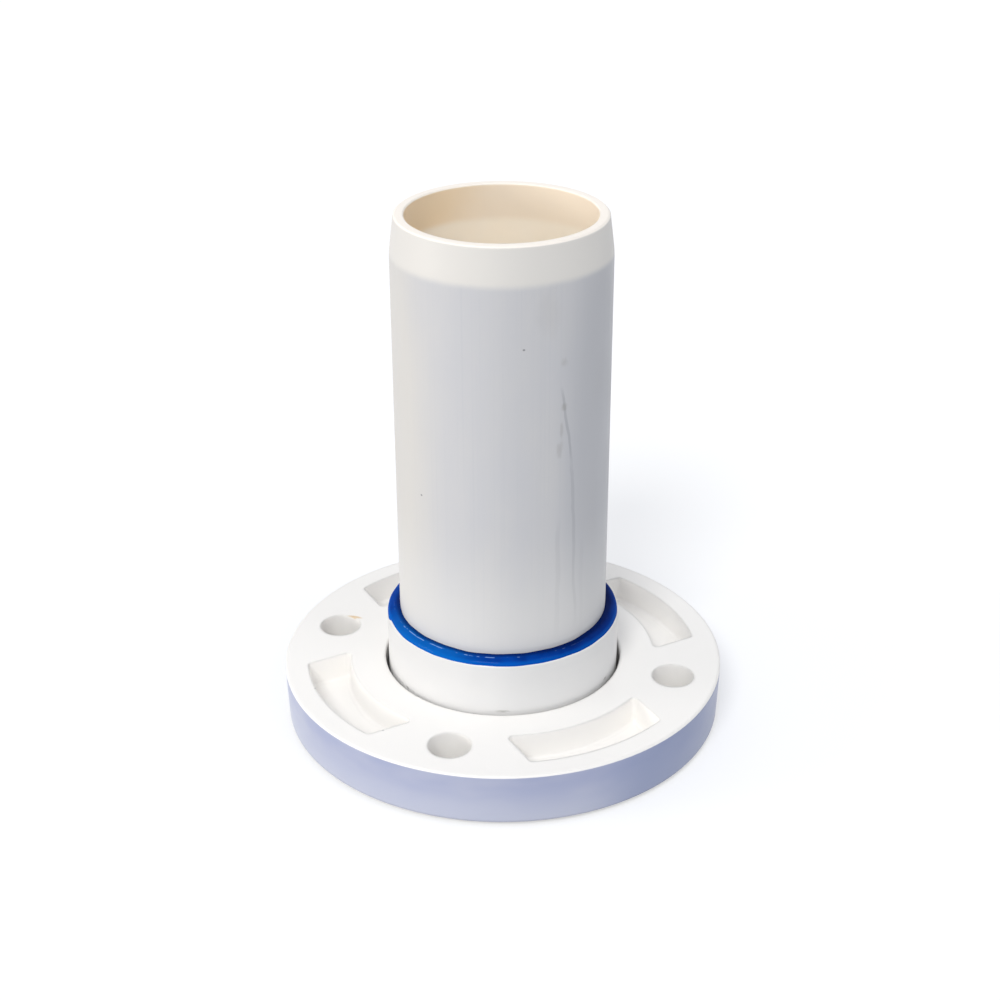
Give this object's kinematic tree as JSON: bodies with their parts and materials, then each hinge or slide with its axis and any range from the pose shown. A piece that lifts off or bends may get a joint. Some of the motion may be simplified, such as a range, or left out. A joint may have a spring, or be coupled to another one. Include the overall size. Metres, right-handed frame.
{
  "type": "flanged pipe spigot",
  "caption": "Short plastic pipe with a drawn-in spigot end, cemented into a stub flange that carries a loose bolting ring with bolt holes and cored pockets.",
  "frame": {"origin": "centre of the stub flange's sealing face, on the plane that the part stands on", "axes": "+Z along the pipe, from the sealing face to the spigot's rim; +X and +Y through the bolt holes"},
  "size_m": [0.1904, 0.1904, 0.2246],
  "materials": {
    "pipe_pvc": "satin extruded",
    "stub_pvc": "moulded",
    "ring_pvc": "moulded",
    "solvent_cement": "glossy"
  },
  "bodies": {
    "spigot": {"spigot_pipe": "pipe_pvc", "stub_flange": "stub_pvc", "cement_bead": "solvent_cement"},
    "ring": {"backing_ring": "ring_pvc"}
  },
  "joints": [
    {"name": "backing_ring_swivel", "type": "hinge", "parent": "spigot", "child": "ring", "pos_m": [0, 0, 0.0101], "axis": [0, 0, 1], "continuous": true}
  ]
}
